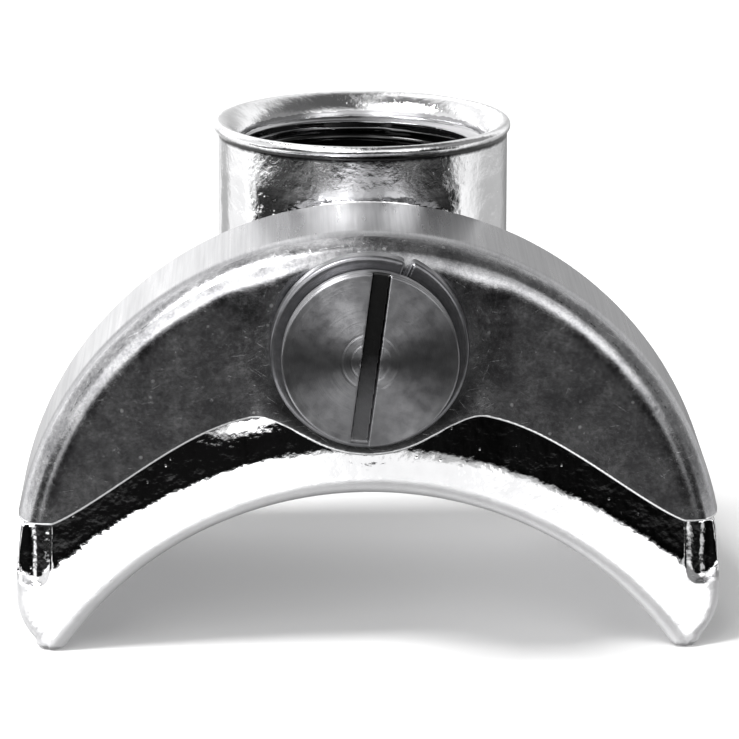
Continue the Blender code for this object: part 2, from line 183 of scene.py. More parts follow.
def arch_field(p):
    """Distance field of the arch: front block, lip, feet and tapered back."""
    x, y, z = np.abs(p[:, 0]), p[:, 1], p[:, 2]
    from_cover = np.hypot(x, z)
    above_under = np.hypot(x, z - UNDER_C) - UNDER_R

    inside_cover = from_cover - BLOCK_R
    nose = np.hypot(np.maximum(x - NOSE[0], 0.0), z - NOSE[1]) - NOSE_R
    foot_side = np.where(z < NOSE[1], nose, from_cover - FOOT_R)
    foot = meet(foot_side, z - LEDGE, LEDGE_ROUND)
    block = np.minimum(inside_cover, foot)

    lip_front = LIP_FRONT - LIP_FOOT_FRONT * (x / FOOT_R) ** 4
    lean_here = LIP_LEAN[0] + (LIP_LEAN[1] - LIP_LEAN[0]) * np.clip(x / LEAN_REACH, 0.0, 1.0) ** 2
    width = LIP_WIDTH[0] + (LIP_WIDTH[1] - LIP_WIDTH[0]) * (x / FOOT_R) ** 4
    wall_foot = lip_front + (width - LIP_EDGE) * lean_here
    unevenness = np.hypot((p[:, 0] - DENT[0]) / DENT[1], (above_under - DENT[2]) / DENT[3])
    wall_foot = wall_foot + DENT_DEPTH * np.exp(-unevenness**2)
    wall = wall_foot + WALL_LEAN * np.clip(above_under - width, *WALL_SPAN) - y
    lip = ((above_under - LIP_EDGE) * lean_here - y + lip_front) * LIP_SQUARE
    front = join(wall, lip, LIP_COVE)
    towards_nose = np.clip((NOSE_SOFT_TOP - z) / NOSE_SOFT_SPAN, 0.0, 1.0)
    block = meet(block, front, FRONT_ROUND + NOSE_SOFT * towards_nose)

    hollow = np.hypot(x - HOLLOW_X, y - HOLLOW_Y - HOLLOW_LEAN * (z - DROP_Z)) - HOLLOW_R
    drop = np.hypot((x - DROP_X) / DROP_WIDTH, (z - DROP_Z) / DROP_HEIGHT)
    drop = (drop - 1.0) * DROP_WIDTH
    drop = np.where(z > DROP_Z, np.abs(x - DROP_X) - DROP_WIDTH, drop)
    facet = meet(hollow, drop, HOLLOW_INNER_ROUND)
    block = cut(block, facet, HOLLOW_EDGE_ROUND)
    block = meet(block, y - BLOCK_BACK - BLOCK_OVERLAP, 0.1)

    along = np.clip((y - BLOCK_BACK) / (REAR_Y - BLOCK_BACK), 0.0, 1.0)
    crown = REAR_CROWN[0] + (REAR_CROWN[1] - REAR_CROWN[0]) * along
    flank = REAR_SIDE[0] + (REAR_SIDE[1] - REAR_SIDE[0]) * along
    ratio = np.hypot(x / flank, z / crown)
    steep = np.hypot(x / flank**2, z / crown**2) / np.maximum(ratio, 1e-6)
    shell = (ratio - 1.0) / np.maximum(steep, 1e-6)
    rear = meet(shell, y - REAR_Y, REAR_ROUND)
    rear = np.maximum(rear, BLOCK_BACK - y)
    return block, rear, above_under


def collar_field(p):
    """Distance field of the neck and its rim."""
    out = np.hypot(p[:, 0], p[:, 1] - COLLAR_Y)
    z = p[:, 2]
    neck = meet(out - NECK_R, z - RIM_TOP + NECK_TOP_GAP, 0.1)
    half = RIM_HEIGHT / 2
    shifted = np.hypot(p[:, 0] - RIM_SHIFT, p[:, 1] - COLLAR_Y)
    across = shifted - RIM_R + RIM_CORNER
    up = np.abs(z - RIM_TOP + half) - half + RIM_CORNER
    rim = np.hypot(np.maximum(across, 0), np.maximum(up, 0)) + np.minimum(
        np.maximum(across, up), 0
    )
    return neck, rim - RIM_CORNER


def thread_radius(p):
    """Radius of the bore's wall: a smooth lead-in, then the right-hand thread."""
    z = p[:, 2]
    turn = np.arctan2(p[:, 1] - COLLAR_Y, p[:, 0]) / math.tau
    wave = np.cos(math.tau * (z / THREAD_PITCH - turn))
    crest = np.tanh(THREAD_SHARPNESS * wave) / math.tanh(THREAD_SHARPNESS)
    thread = THREAD_MEAN - THREAD_HALF * crest
    flare = np.clip(1.0 - (RIM_TOP - z) / FLARE_DEPTH, 0.0, 1.2)
    lead = MOUTH_R + FLARE * flare**2
    share = np.clip((RIM_TOP - THREAD_START - z) / 0.3, 0.0, 1.0)
    share *= np.clip((z - THREAD_END + 0.2) / 0.6, 0.0, 1.0)
    floor_radius = np.where(z > RIM_TOP - LEAD_DEPTH, lead, THREAD_MEAN)
    return floor_radius + (thread - floor_radius) * share


def body_field(p):
    """Distance field of the whole casting."""
    x, y, z = np.abs(p[:, 0]), p[:, 1], p[:, 2]
    block, rear, above_under = arch_field(p)
    neck, rim = collar_field(p)
    body = join(block, rear, 0.2)
    foot = np.maximum(neck, NECK_FOOT - z)
    body = join(body, foot, 0.5)
    cover_room = np.maximum(y - BLOCK_BACK, BLOCK_R - np.hypot(x, z))
    cover_room = np.maximum(cover_room, LEDGE - z)
    body = cut(body, cover_room, 0.25)
    body = join(body, rim, 0.15)
    body = meet(body, -above_under, UNDER_EDGE)
    body = meet(body, FLOOR + 0.02 - z, 0.3)

    out = np.hypot(p[:, 0], y - COLLAR_Y)
    bore = np.maximum(out - thread_radius(p), THREAD_END - z)
    body = cut(body, bore, 0.25)
    well = meet(out - WELL_R, WELL_FLOOR - z, 1.5)
    well = np.maximum(well, z - THREAD_END - 0.4)
    body = cut(body, well, 0.1)
    from_screw = np.hypot(x, z - SCREW_Z)
    above_floor = CHANNEL_FLOOR_R - np.hypot(x, z - UNDER_C)
    channel = np.maximum(np.hypot(x, z) - CHANNEL_TOP_R, above_floor)
    channel = np.maximum(np.maximum(channel, x - CHANNEL_END), y - CHANNEL_BACK)
    channel = np.maximum(channel, PILLAR_R - from_screw)
    body = cut(body, channel, 0.15)
    tapped = np.maximum(from_screw - TAPPED_R, y - TAPPED_END)
    body = cut(body, tapped, 0.1)
    from_feed = np.hypot(x - FEED_X, z - SCREW_Z + FEED_DROP)
    feed = np.maximum(from_feed - FEED_R, np.abs(y - FEED_MIDDLE) - FEED_HALF)
    body = cut(body, feed, 0.1)
    outlet = np.maximum(np.hypot(x - OUTLET[0], y - OUTLET[1]) - OUTLET_R, z - OUTLET_TOP)
    return cut(body, outlet, 0.15)


def gradient(field, p, step=0.01):
    """Central-difference gradient of a distance field."""
    out = np.empty_like(p)
    for axis in range(3):
        offset = np.zeros(3)
        offset[axis] = step
        out[:, axis] = (field(p + offset) - field(p - offset)) / (2 * step)
    return out


def settle(field, p, rounds=4, reach=0.4):
    """Move points onto a field's surface."""
    for _ in range(rounds):
        value = field(p)
        slope = gradient(field, p)
        square = np.maximum((slope**2).sum(axis=1), 0.05)
        move = slope * (value / square)[:, None]
        length = np.linalg.norm(move, axis=1)
        move *= np.minimum(1.0, reach / np.maximum(length, 1e-9))[:, None]
        p = p - move
    return p


def relax(mesh_edges, p, strength=0.5):
    """Move points towards the mean of their neighbours."""
    total = np.zeros_like(p)
    count = np.zeros(len(p))
    for a, b in ((0, 1), (1, 0)):
        np.add.at(total, mesh_edges[:, a], p[mesh_edges[:, b]])
        np.add.at(count, mesh_edges[:, a], 1.0)
    return p + (total / np.maximum(count, 1)[:, None] - p) * strength


def warp(mesh, knots, back=False):
    """Stretch a mesh along y and z so that an even remesh is finer where it matters."""
    points = np.empty(len(mesh.vertices) * 3)
    mesh.vertices.foreach_get("co", points)
    points = to_arch(points.reshape(-1, 3))
    for axis, plain, stretched in knots:
        source, target = (stretched, plain) if back else (plain, stretched)
        points[:, axis] = np.interp(points[:, axis], source, target)
    mesh.vertices.foreach_set("co", to_row(points).ravel())
    mesh.update()


def cast_piece(name, node, field, voxel, knots=(), marks=()):
    """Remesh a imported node, lay it on a distance field and shade it by the field's slope."""
    source = bpy.data.objects[node]
    mesh = source.data.copy()
    warp(mesh, knots)
    obj = bpy.data.objects.new(name, mesh)
    bpy.context.scene.collection.objects.link(obj)
    remesh = obj.modifiers.new("voxels", "REMESH")
    remesh.mode = "VOXEL"
    remesh.voxel_size = voxel * MM
    depsgraph = bpy.context.evaluated_depsgraph_get()
    fine = bpy.data.meshes.new_from_object(obj.evaluated_get(depsgraph))
    obj.modifiers.clear()
    obj.data = fine
    warp(fine, knots, back=True)
    points = np.empty(len(fine.vertices) * 3)
    fine.vertices.foreach_get("co", points)
    points = to_arch(points.reshape(-1, 3))
    edges = np.empty(len(fine.edges) * 2, int)
    fine.edges.foreach_get("vertices", edges)
    edges = edges.reshape(-1, 2)
    points = settle(field, points, rounds=5)
    for _ in range(4):
        points = relax(edges, points)
        points = settle(field, points, rounds=2)
    fine.vertices.foreach_set("co", to_row(points).ravel())
    fine.shade_smooth()
    normals = gradient(field, points, step=0.02)
    normals /= np.maximum(np.linalg.norm(normals, axis=1), 1e-9)[:, None]
    fine.normals_split_custom_set_from_vertices(normals)
    for mark, measure in marks:
        values = measure(points).astype(np.float32)
        fine.attributes.new(mark, "FLOAT", "POINT").data.foreach_set("value", values)
    fine.update()
    print(name, len(fine.vertices), "points,", len(fine.polygons), "faces")
    return obj


# Crescent cover
PLATE = 1.0
COVER_DEPTH = 11.0
RIM_ROUND = 1.0
CROWN_WIDTH = 2.6
CROWN_REACH = 1.6
CROWN_DROP = 0.36
CROWN_LIMIT = 1.15
RIM_EDGE_Y = 1.45
HILL_DROP = 0.28
HILL_R = 6.6
HILL_WIDTH = 3.2
TIP_HEIGHT = 4.3
BOSS_R = 7.65
EDGE_START = 20.9
EDGE_SPAN = 14.9
EDGE_RISE = 7.38
EDGE_POWER = 1.2
BOSS_FILLET = 1.6
TIP_ROUND = 0.45
INNER_ROUND = 0.4
SHEET_EDGE = 0.14
COVER_HOLE_R = 2.9


def lower_edge(x):
    """Height of the cover's lower edge at a distance from the middle."""
    share = np.clip((EDGE_START - x) / EDGE_SPAN, 1e-6, 1.0) ** EDGE_POWER
    return TIP_HEIGHT + EDGE_RISE * np.sin(share * math.pi / 2)


def cover_outline(x, z, out):
    """Distance from the cover's front outline: lower edge, boss and tips."""
    edge = lower_edge(x)
    slope = (lower_edge(x + 0.05) - lower_edge(x - 0.05)) / 0.1
    above = (edge - z) / np.sqrt(1.0 + slope**2)
    boss = np.hypot(x, z - SCREW_Z) - BOSS_R
    outline = join(above, boss, BOSS_FILLET)
    return meet(outline, out - COVER_R, TIP_ROUND)


def cover_field(p):
    """Distance field of the cover: a crowned front plate with a deep rim."""
    x, y, z = np.abs(p[:, 0]), p[:, 1], p[:, 2]
    out = np.hypot(x, z)
    near_rim = np.maximum(out - COVER_R + CROWN_WIDTH, 0.0) / CROWN_REACH
    bent = np.minimum(near_rim, CROWN_LIMIT)
    crown = CROWN_DROP * bent**2 * (3.0 * near_rim - 2.0 * bent)
    steep = np.hypot(1.0, 3.0 * CROWN_DROP / CROWN_REACH * bent**2)
    hill = np.clip((np.hypot(x, z - SCREW_Z) - HILL_R) / HILL_WIDTH, 0.0, 1.0)
    drop = crown + HILL_DROP * hill**2 * (3.0 - 2.0 * hill)
    outside = meet(out - COVER_R, (drop - y) / steep, RIM_ROUND)
    inside = meet(out - COVER_R + PLATE, (drop + PLATE - y) / steep, INNER_ROUND)
    hood = np.maximum(outside, -inside)
    hood = meet(hood, y - COVER_DEPTH, SHEET_EDGE)
    hood = meet(hood, cover_outline(x, z, out), SHEET_EDGE)
    hole = np.hypot(x, z - SCREW_Z) - COVER_HOLE_R
    return cut(hood, hole, 0.12)


# Screw
HEAD_R = 5.73
HEAD_BACK = -3.3
HEAD_FRONT = -5.13
HEAD_CROWN = 0.19
SLOT_HALF = 0.575
SLOT_DEPTH = 1.1
SLOT_TILT = math.radians(7.5)
GROOVE_OUT = 0.12
GROOVE_BACK = 0.95
GROOVE_R = 0.26
SHANK_R = 2.48
SHANK_THREAD = 0.21
SCREW_PITCH = 0.8
SCREW_END = 9.0


def screw_field(p):
    """Distance field of the slotted screw, with a crowned face and a cut thread."""
    x, y, z = p[:, 0], p[:, 1], p[:, 2] - SCREW_Z
    out = np.hypot(x, z)
    crown = HEAD_CROWN * np.cos(np.minimum(out / HEAD_R, 1.0) * math.pi)
    face = HEAD_FRONT + HEAD_CROWN - crown - 0.02
    head = meet(out - HEAD_R, face - y, 0.16)
    head = meet(head, y - HEAD_BACK, 0.2)
    groove = np.hypot(out - HEAD_R - GROOVE_OUT, y - HEAD_FRONT - GROOVE_BACK) - GROOVE_R
    head = cut(head, groove, 0.1)
    turn = np.arctan2(z, x) / math.tau
    wave = np.cos(math.tau * (y / SCREW_PITCH + turn))
    start = np.clip((y + 1.2) / 0.5, 0.0, 1.0) * np.clip((SCREW_END - 0.1 - y) / 0.5, 0.0, 1.0)
    shank_radius = SHANK_R - SHANK_THREAD * (1.0 - wave) * start
    shank = meet(out - shank_radius, y - SCREW_END, 0.3)
    shank = np.maximum(shank, HEAD_BACK - 1.0 - y)
    screw = join(head, shank, 0.25)
    across = x * math.cos(SLOT_TILT) - z * math.sin(SLOT_TILT)
    slot = np.maximum(np.abs(across) - SLOT_HALF, y - HEAD_FRONT - SLOT_DEPTH)
    return cut(screw, slot, 0.1)


# Spring washer
WASHER_OUT = 6.49
WASHER_IN = 4.4
WASHER_BACK = -0.3
WASHER_WIRE = 1.5
WASHER_RISE = 1.2
SPLIT = math.radians(64.0)
SPLIT_GAP = math.radians(5.0)


def washer_field(p):
    """Distance field of the split washer, one rising turn of rounded square wire."""
    x, y, z = p[:, 0], p[:, 1], p[:, 2] - SCREW_Z
    out = np.hypot(x, z)
    wound = np.mod(SPLIT - np.arctan2(z, x) + SPLIT_GAP / 2, math.tau) - SPLIT_GAP / 2
    turn = math.tau - SPLIT_GAP
    middle = WASHER_BACK - WASHER_WIRE / 2 - WASHER_RISE * np.clip(wound / turn, 0.0, 1.0)
    radial = np.abs(out - (WASHER_OUT + WASHER_IN) / 2) - (WASHER_OUT - WASHER_IN) / 2
    wire = meet(radial, np.abs(y - middle) - WASHER_WIRE / 2, 0.3)
    ends = np.maximum(-wound, wound - turn) * (WASHER_OUT + WASHER_IN) / 2
    return meet(wire, ends, 0.25)


def edge_distance(p):
    """Distance of the cover's points from its cut edge."""
    return cover_outline(np.abs(p[:, 0]), p[:, 2], np.hypot(p[:, 0], p[:, 2]))


def under_height(p):
    """Distance of the casting's points from the arch's underside or a foot's outer end."""
    above = np.hypot(p[:, 0], p[:, 2] - UNDER_C) - UNDER_R
    across = np.maximum(np.abs(p[:, 0]) - NOSE[0], 0.0)
    inward = NOSE_R - np.hypot(across, p[:, 2] - NOSE[1])
    return np.where(p[:, 2] < 0.6, np.minimum(above, inward + 0.35), above)


def corner_distance(p):
    """Distance from the corners that get painted shade: under the rim and at the neck's foot."""
    block, rear, _ = arch_field(p)
    neck, _ = collar_field(p)
    foot = np.maximum(np.abs(neck), np.abs(np.minimum(block, rear)))
    out = np.hypot(p[:, 0], p[:, 1] - COLLAR_Y)
    under_rim = np.hypot(out - NECK_R, p[:, 2] - RIM_TOP + RIM_HEIGHT)
    return np.minimum(foot, under_rim)


def shader_material(name, colour, metallic, roughness):
    """Return a new material, its shader and its node tree."""
    material = bpy.data.materials.new(name)
    material.use_nodes = True
    tree = material.node_tree
    shader = tree.nodes["Principled BSDF"]
    shader.inputs["Base Color"].default_value = (*colour, 1.0)
    shader.inputs["Metallic"].default_value = metallic
    shader.inputs["Roughness"].default_value = roughness
    return material, shader, tree


def coordinates(tree, scale=(1.0, 1.0, 1.0), turn=(0.0, 0.0, 0.0)):
    """Object coordinates in millimetres, turned and stretched."""
    source = tree.nodes.new("ShaderNodeTexCoord")
    turned = tree.nodes.new("ShaderNodeMapping")
    turned.inputs["Rotation"].default_value = turn
    tree.links.new(source.outputs["Object"], turned.inputs["Vector"])
    stretched = tree.nodes.new("ShaderNodeMapping")
    stretched.inputs["Scale"].default_value = [value / MM for value in scale]
    tree.links.new(turned.outputs["Vector"], stretched.inputs["Vector"])
    return stretched.outputs["Vector"]


def painted(tree, mark):
    """Read a distance that was stored on the points."""
    made = tree.nodes.new("ShaderNodeAttribute")
    made.attribute_name = mark
    return made.outputs["Fac"]


def noise(tree, vector, scale=1.0, detail=3.0, rough=0.55):
    """A noise texture on a vector."""
    made = tree.nodes.new("ShaderNodeTexNoise")
    made.inputs["Scale"].default_value = scale
    made.inputs["Detail"].default_value = detail
    made.inputs["Roughness"].default_value = rough
    tree.links.new(vector, made.inputs["Vector"])
    return made.outputs["Fac"]


def remap(tree, value, low, high, out_low, out_high):
    """Map a value range onto another, clamped."""
    made = tree.nodes.new("ShaderNodeMapRange")
    made.inputs["From Min"].default_value = low
    made.inputs["From Max"].default_value = high
    made.inputs["To Min"].default_value = out_low
    made.inputs["To Max"].default_value = out_high
    tree.links.new(value, made.inputs["Value"])
    return made.outputs["Result"]


def arithmetic(tree, operation, first, second=0.0):
    """Combine two values, or a value and a number."""
    made = tree.nodes.new("ShaderNodeMath")
    made.operation = operation
    for socket, value in zip(made.inputs, (first, second)):
        if isinstance(value, (int, float)):
            socket.default_value = value
        else:
            tree.links.new(value, socket)
    return made.outputs["Value"]


def product(tree, first, *others):
    """Multiply several values."""
    for other in others:
        first = arithmetic(tree, "MULTIPLY", first, other)
    return first


def bump(tree, height, distance, normal=None, strength=1.0):
    """Raise a surface by a height field; distance is in millimetres."""
    made = tree.nodes.new("ShaderNodeBump")
    made.inputs["Strength"].default_value = strength
    made.inputs["Distance"].default_value = distance * MM
    tree.links.new(height, made.inputs["Height"])
    if normal is not None:
        tree.links.new(normal, made.inputs["Normal"])
    return made.outputs["Normal"]


def blend_colours(tree, share, dark, light):
    """Mix two colours by a share; each is a colour or a node's output."""
    made = tree.nodes.new("ShaderNodeMix")
    made.data_type = "RGBA"
    tree.links.new(share, made.inputs["Factor"])
    for socket, colour in ((made.inputs["A"], dark), (made.inputs["B"], light)):
        if isinstance(colour, tuple):
            socket.default_value = (*colour, 1.0)
        else:
            tree.links.new(colour, socket)
    return made.outputs["Result"]


def chrome_material():
    """Bright chrome over a casting, with orange peel, small pits and painted shade in the corners
    under the rim and at the neck's foot.
    """
    material, shader, tree = shader_material("cast_chrome", (0.80, 0.80, 0.81), 1.0, 0.05)
    place = coordinates(tree)
    peel = noise(tree, place, scale=0.9, detail=2.0, rough=0.5)
    fine = noise(tree, place, scale=3.2, detail=3.0, rough=0.6)
    pits = tree.nodes.new("ShaderNodeTexVoronoi")
    pits.inputs["Scale"].default_value = 0.9
    tree.links.new(place, pits.inputs["Vector"])
    pit_depth = remap(tree, pits.outputs["Distance"], 0.02, 0.09, 0.0, 1.0)
    split = tree.nodes.new("ShaderNodeSeparateXYZ")
    tree.links.new(place, split.inputs["Vector"])
    on_neck = remap(tree, split.outputs["Z"], 23.6 + ARCH_Z / MM, 24.2 + ARCH_Z / MM, 0.0, 1.0)
    hammered_noise = noise(tree, place, scale=1.7, detail=5.0, rough=0.72)
    hammered = arithmetic(tree, "MULTIPLY", hammered_noise, on_neck)
    normal = bump(tree, peel, 0.05)
    normal = bump(tree, fine, 0.009, normal)
    normal = bump(tree, hammered, 0.028, normal)
    normal = bump(tree, pit_depth, 0.02, normal, 0.6)
    tree.links.new(normal, shader.inputs["Normal"])
    haze = remap(tree, fine, 0.3, 0.8, 0.03, 0.09)
    ground = remap(tree, painted(tree, "under_height"), 0.85, 1.35, 0.50, 0.0)
    tree.links.new(arithmetic(tree, "ADD", haze, ground), shader.inputs["Roughness"])
    tone = blend_colours(tree, peel, (0.80, 0.80, 0.81), (0.92, 0.92, 0.93))
    # Painted shade: near black in the corners under the rim and at the neck's foot, with a ragged
    # edge
    ragged = arithmetic(tree, "MULTIPLY", hammered_noise, 0.3)
    corner = arithmetic(tree, "ADD", painted(tree, "corner_distance"), ragged)
    unshaded = remap(tree, corner, 0.34, 0.54, 0.0, 1.0)
    corner_shaded = blend_colours(tree, unshaded, (0.05, 0.05, 0.05), tone)
    tree.links.new(corner_shaded, shader.inputs["Base Color"])
    return material


def bore_material():
    """Machined wall inside the collar: fine turning lines, and painted shade that darkens it with
    depth.
    """
    material, shader, tree = shader_material("turned_chrome", (0.30, 0.30, 0.31), 1.0, 0.12)
    place = coordinates(tree, scale=(0.2, 0.2, 9.0))
    lines = noise(tree, place, scale=1.0, detail=4.0, rough=0.7)
    split = tree.nodes.new("ShaderNodeSeparateXYZ")
    tree.links.new(coordinates(tree), split.inputs["Vector"])
    top = RIM_TOP + ARCH_Z / MM
    # Painted shade: the wall turns near black deeper in the bore
    depth = remap(tree, split.outputs["Z"], top - 2.6, top - 1.5, 0.0, 1.0)
    tone = blend_colours(tree, depth, (0.04, 0.04, 0.04), (0.45, 0.45, 0.46))
    tree.links.new(tone, shader.inputs["Base Color"])
    tree.links.new(bump(tree, lines, 0.006), shader.inputs["Normal"])
    tree.links.new(remap(tree, lines, 0.3, 0.7, 0.10, 0.22), shader.inputs["Roughness"])
    return material


def scratches(tree, turn, length, width, threshold):
    """Short thin scratches along one direction, as a share."""
    place = coordinates(tree, scale=(length, 1.0, width), turn=(0.0, turn, 0.0))
    value = noise(tree, place, scale=1.0, detail=1.0, rough=0.4)
    return remap(tree, value, threshold, threshold + 0.06, 0.0, 1.0)


def front_steel():
    """The cover's front: dark polished steel with scuffs and scratches, painted shade below the
    screw and a painted highlight along its polished cut edge.
    """
    material, shader, tree = shader_material("cover_front_steel", (0.50, 0.50, 0.51), 1.0, 0.20)
    place = coordinates(tree)
    cloud = noise(tree, place, scale=0.45, detail=6.0, rough=0.68)
    grain = noise(tree, place, scale=3.0, detail=6.0, rough=0.75)
    marks = scratches(tree, 0.5, 0.45, 16.0, 0.735)
    for turn, length, width, threshold in (
        (-0.6, 0.35, 18.0, 0.735),
        (1.2, 0.6, 14.0, 0.74),
        (2.2, 0.9, 13.0, 0.74),
        (0.15, 0.3, 17.0, 0.73),
        (-0.15, 1.4, 12.0, 0.72),
    ):
        more = scratches(tree, turn, length, width, threshold)
        marks = arithmetic(tree, "MAXIMUM", marks, more)
    specks = tree.nodes.new("ShaderNodeTexVoronoi")
    specks.inputs["Scale"].default_value = 0.6
    tree.links.new(place, specks.inputs["Vector"])
    dots = remap(tree, specks.outputs["Distance"], 0.05, 0.10, 1.0, 0.0)
    wear = arithmetic(tree, "MAXIMUM", arithmetic(tree, "MULTIPLY", marks, 0.6), dots)
    mottle = arithmetic(tree, "ADD", arithmetic(tree, "MULTIPLY", cloud, 0.6),
                        arithmetic(tree, "MULTIPLY", grain, 0.5))
    mottle = remap(tree, mottle, 0.43, 0.69, 0.0, 1.0)
    tone = blend_colours(tree, mottle, (0.27, 0.27, 0.28), (0.56, 0.56, 0.57))
    # Painted shade: near black on the plate below the screw, around the washer
    split = tree.nodes.new("ShaderNodeSeparateXYZ")
    tree.links.new(place, split.inputs["Vector"])
    below = arithmetic(tree, "SUBTRACT", SCREW_Z + ARCH_Z / MM, split.outputs["Z"])
    shade_below_screw = arithmetic(tree, "MULTIPLY", remap(tree, below, 1.0, 4.5, 0.0, 0.85),
                      remap(tree, from_screw_axis(tree), 7.2, 8.6, 1.0, 0.0))
    tone = blend_colours(tree, shade_below_screw, tone, (0.03, 0.03, 0.03))
    # Painted highlight: the cut edge is painted near white; the same mask also lowers its
    # roughness as a smoother polish
    edge_highlight_and_polish = remap(tree, painted(tree, "edge_distance"), -0.19, -0.14, 0.0, 1.0)
    light = arithmetic(tree, "MAXIMUM", arithmetic(tree, "MULTIPLY", wear, 0.35), edge_highlight_and_polish)
    worn_and_highlit = blend_colours(tree, light, tone, (0.92, 0.92, 0.93))
    tree.links.new(worn_and_highlit, shader.inputs["Base Color"])
    rough = remap(tree, mottle, 0.0, 1.0, 0.15, 0.27)
    rough = arithmetic(tree, "ADD", rough, arithmetic(tree, "MULTIPLY", wear, 0.10))
    polish = arithmetic(tree, "SUBTRACT", 1.0, arithmetic(tree, "MULTIPLY", edge_highlight_and_polish, 0.5))
    rough = arithmetic(tree, "MULTIPLY", rough, polish)
    tree.links.new(rough, shader.inputs["Roughness"])
    normal = bump(tree, grain, 0.006)
    normal = bump(tree, cloud, 0.02, normal)
    normal = bump(tree, wear, -0.002, normal)
    tree.links.new(normal, shader.inputs["Normal"])
    return material


def rim_steel():
    """The cover's rim: steel brushed from front to back."""
    material, shader, tree = shader_material("cover_rim_steel", (0.56, 0.56, 0.57), 1.0, 0.30)
    lines = noise(tree, coordinates(tree, scale=(5.0, 0.05, 5.0)), 1.0, 4.0, 0.75)
    broad = noise(tree, coordinates(tree, scale=(0.9, 0.06, 0.9)), 1.0, 3.0, 0.6)
    tone = blend_colours(tree, lines, (0.22, 0.22, 0.23), (0.52, 0.52, 0.53))
    tree.links.new(tone, shader.inputs["Base Color"])
    tree.links.new(remap(tree, broad, 0.3, 0.7, 0.24, 0.36), shader.inputs["Roughness"])
    normal = bump(tree, lines, 0.012)
    normal = bump(tree, broad, 0.01, normal)
    tree.links.new(normal, shader.inputs["Normal"])
    return material


def from_screw_axis(tree):
    """Distance from the screw's axis in millimetres."""
    source = tree.nodes.new("ShaderNodeTexCoord")
    split = tree.nodes.new("ShaderNodeSeparateXYZ")
    tree.links.new(source.outputs["Object"], split.inputs["Vector"])
    height = arithmetic(tree, "SUBTRACT", split.outputs["Z"], ARCH_Z + SCREW_Z * MM)
    x_square = arithmetic(tree, "POWER", arithmetic(tree, "ABSOLUTE", split.outputs["X"]), 2.0)
    z_square = arithmetic(tree, "POWER", arithmetic(tree, "ABSOLUTE", height), 2.0)
    total = arithmetic(tree, "ADD", x_square, z_square)
    return arithmetic(tree, "DIVIDE", arithmetic(tree, "SQRT", total), MM)


def turned_steel():
    """Turned steel: fine rings round the screw's axis, coarser near the middle."""
    material, shader, tree = shader_material("turned_screw_steel", (0.52, 0.52, 0.53), 1.0, 0.32)
    shader.inputs["Anisotropic"].default_value = 0.85
    shader.inputs["Anisotropic Rotation"].default_value = 0.25
    around = tree.nodes.new("ShaderNodeTangent")
    around.direction_type = "RADIAL"
    around.axis = "Y"
    tree.links.new(around.outputs["Tangent"], shader.inputs["Tangent"])
    radius = from_screw_axis(tree)
    rings = tree.nodes.new("ShaderNodeTexNoise")
    rings.noise_dimensions = "1D"
    rings.inputs["Scale"].default_value = 5.0
    rings.inputs["Detail"].default_value = 4.0
    rings.inputs["Roughness"].default_value = 0.7
    tree.links.new(radius, rings.inputs["W"])
    grain = noise(tree, coordinates(tree), scale=1.2, detail=4.0, rough=0.6)
    tone = blend_colours(tree, grain, (0.21, 0.21, 0.22), (0.41, 0.41, 0.42))
    tree.links.new(tone, shader.inputs["Base Color"])
    tree.links.new(remap(tree, grain, 0.3, 0.7, 0.28, 0.38), shader.inputs["Roughness"])
    normal = bump(tree, rings.outputs["Fac"], 0.008)
    for place, width in ((0.75, 0.12), (1.25, 0.10), (1.85, 0.14)):
        away = arithmetic(tree, "ABSOLUTE", arithmetic(tree, "SUBTRACT", radius, place))
        groove = remap(tree, away, 0.0, width, 0.0, 1.0)
        normal = bump(tree, groove, 0.018, normal)
    tree.links.new(normal, shader.inputs["Normal"])
    return material


def slot_steel():
    """The screw's slot: darker, with painted shade towards its upper end."""
    material, shader, tree = shader_material("slot_steel", (0.12, 0.12, 0.12), 1.0, 0.35)
    split = tree.nodes.new("ShaderNodeSeparateXYZ")
    tree.links.new(coordinates(tree), split.inputs["Vector"])
    grain = noise(tree, coordinates(tree), scale=1.6, detail=4.0, rough=0.65)
    middle = SCREW_Z + ARCH_Z / MM
    height = arithmetic(tree, "SUBTRACT", split.outputs["Z"], middle)
    height = arithmetic(tree, "ADD", height, arithmetic(tree, "MULTIPLY", grain, 1.2))
    # Painted shade: the slot turns near black towards its upper end
    slot_shade = remap(tree, height, -2.6, 0.8, 0.0, 1.0)
    tone = blend_colours(tree, slot_shade, (0.30, 0.30, 0.31), (0.04, 0.04, 0.04))
    tree.links.new(tone, shader.inputs["Base Color"])
    tree.links.new(bump(tree, grain, 0.03), shader.inputs["Normal"])
    return material


def wire_steel():
    """Spring wire: dark drawn steel with lengthwise draw marks."""
    material, shader, tree = shader_material("spring_wire_steel", (0.20, 0.20, 0.21), 1.0, 0.30)
    radius = from_screw_axis(tree)
    marks = tree.nodes.new("ShaderNodeTexNoise")
    marks.noise_dimensions = "1D"
    marks.inputs["Scale"].default_value = 7.0
    tree.links.new(radius, marks.inputs["W"])
    grain = noise(tree, coordinates(tree), scale=2.0, detail=4.0, rough=0.6)
    tone = blend_colours(tree, grain, (0.12, 0.12, 0.13), (0.30, 0.30, 0.31))
    tree.links.new(tone, shader.inputs["Base Color"])
    normal = bump(tree, marks.outputs["Fac"], 0.01)
    normal = bump(tree, grain, 0.01, normal)
    tree.links.new(normal, shader.inputs["Normal"])
    return material


def assign_by_place(obj, materials, choose):
    """Give each face one of the materials, chosen from its middle in the arch's frame."""
    mesh = obj.data
    mesh.materials.clear()
    for material in materials:
        mesh.materials.append(material)
    centres = np.empty(len(mesh.polygons) * 3)
    mesh.polygons.foreach_get("center", centres)
    index = choose(to_arch(centres.reshape(-1, 3))).astype(np.int32)
    mesh.polygons.foreach_set("material_index", index)
    mesh.update()


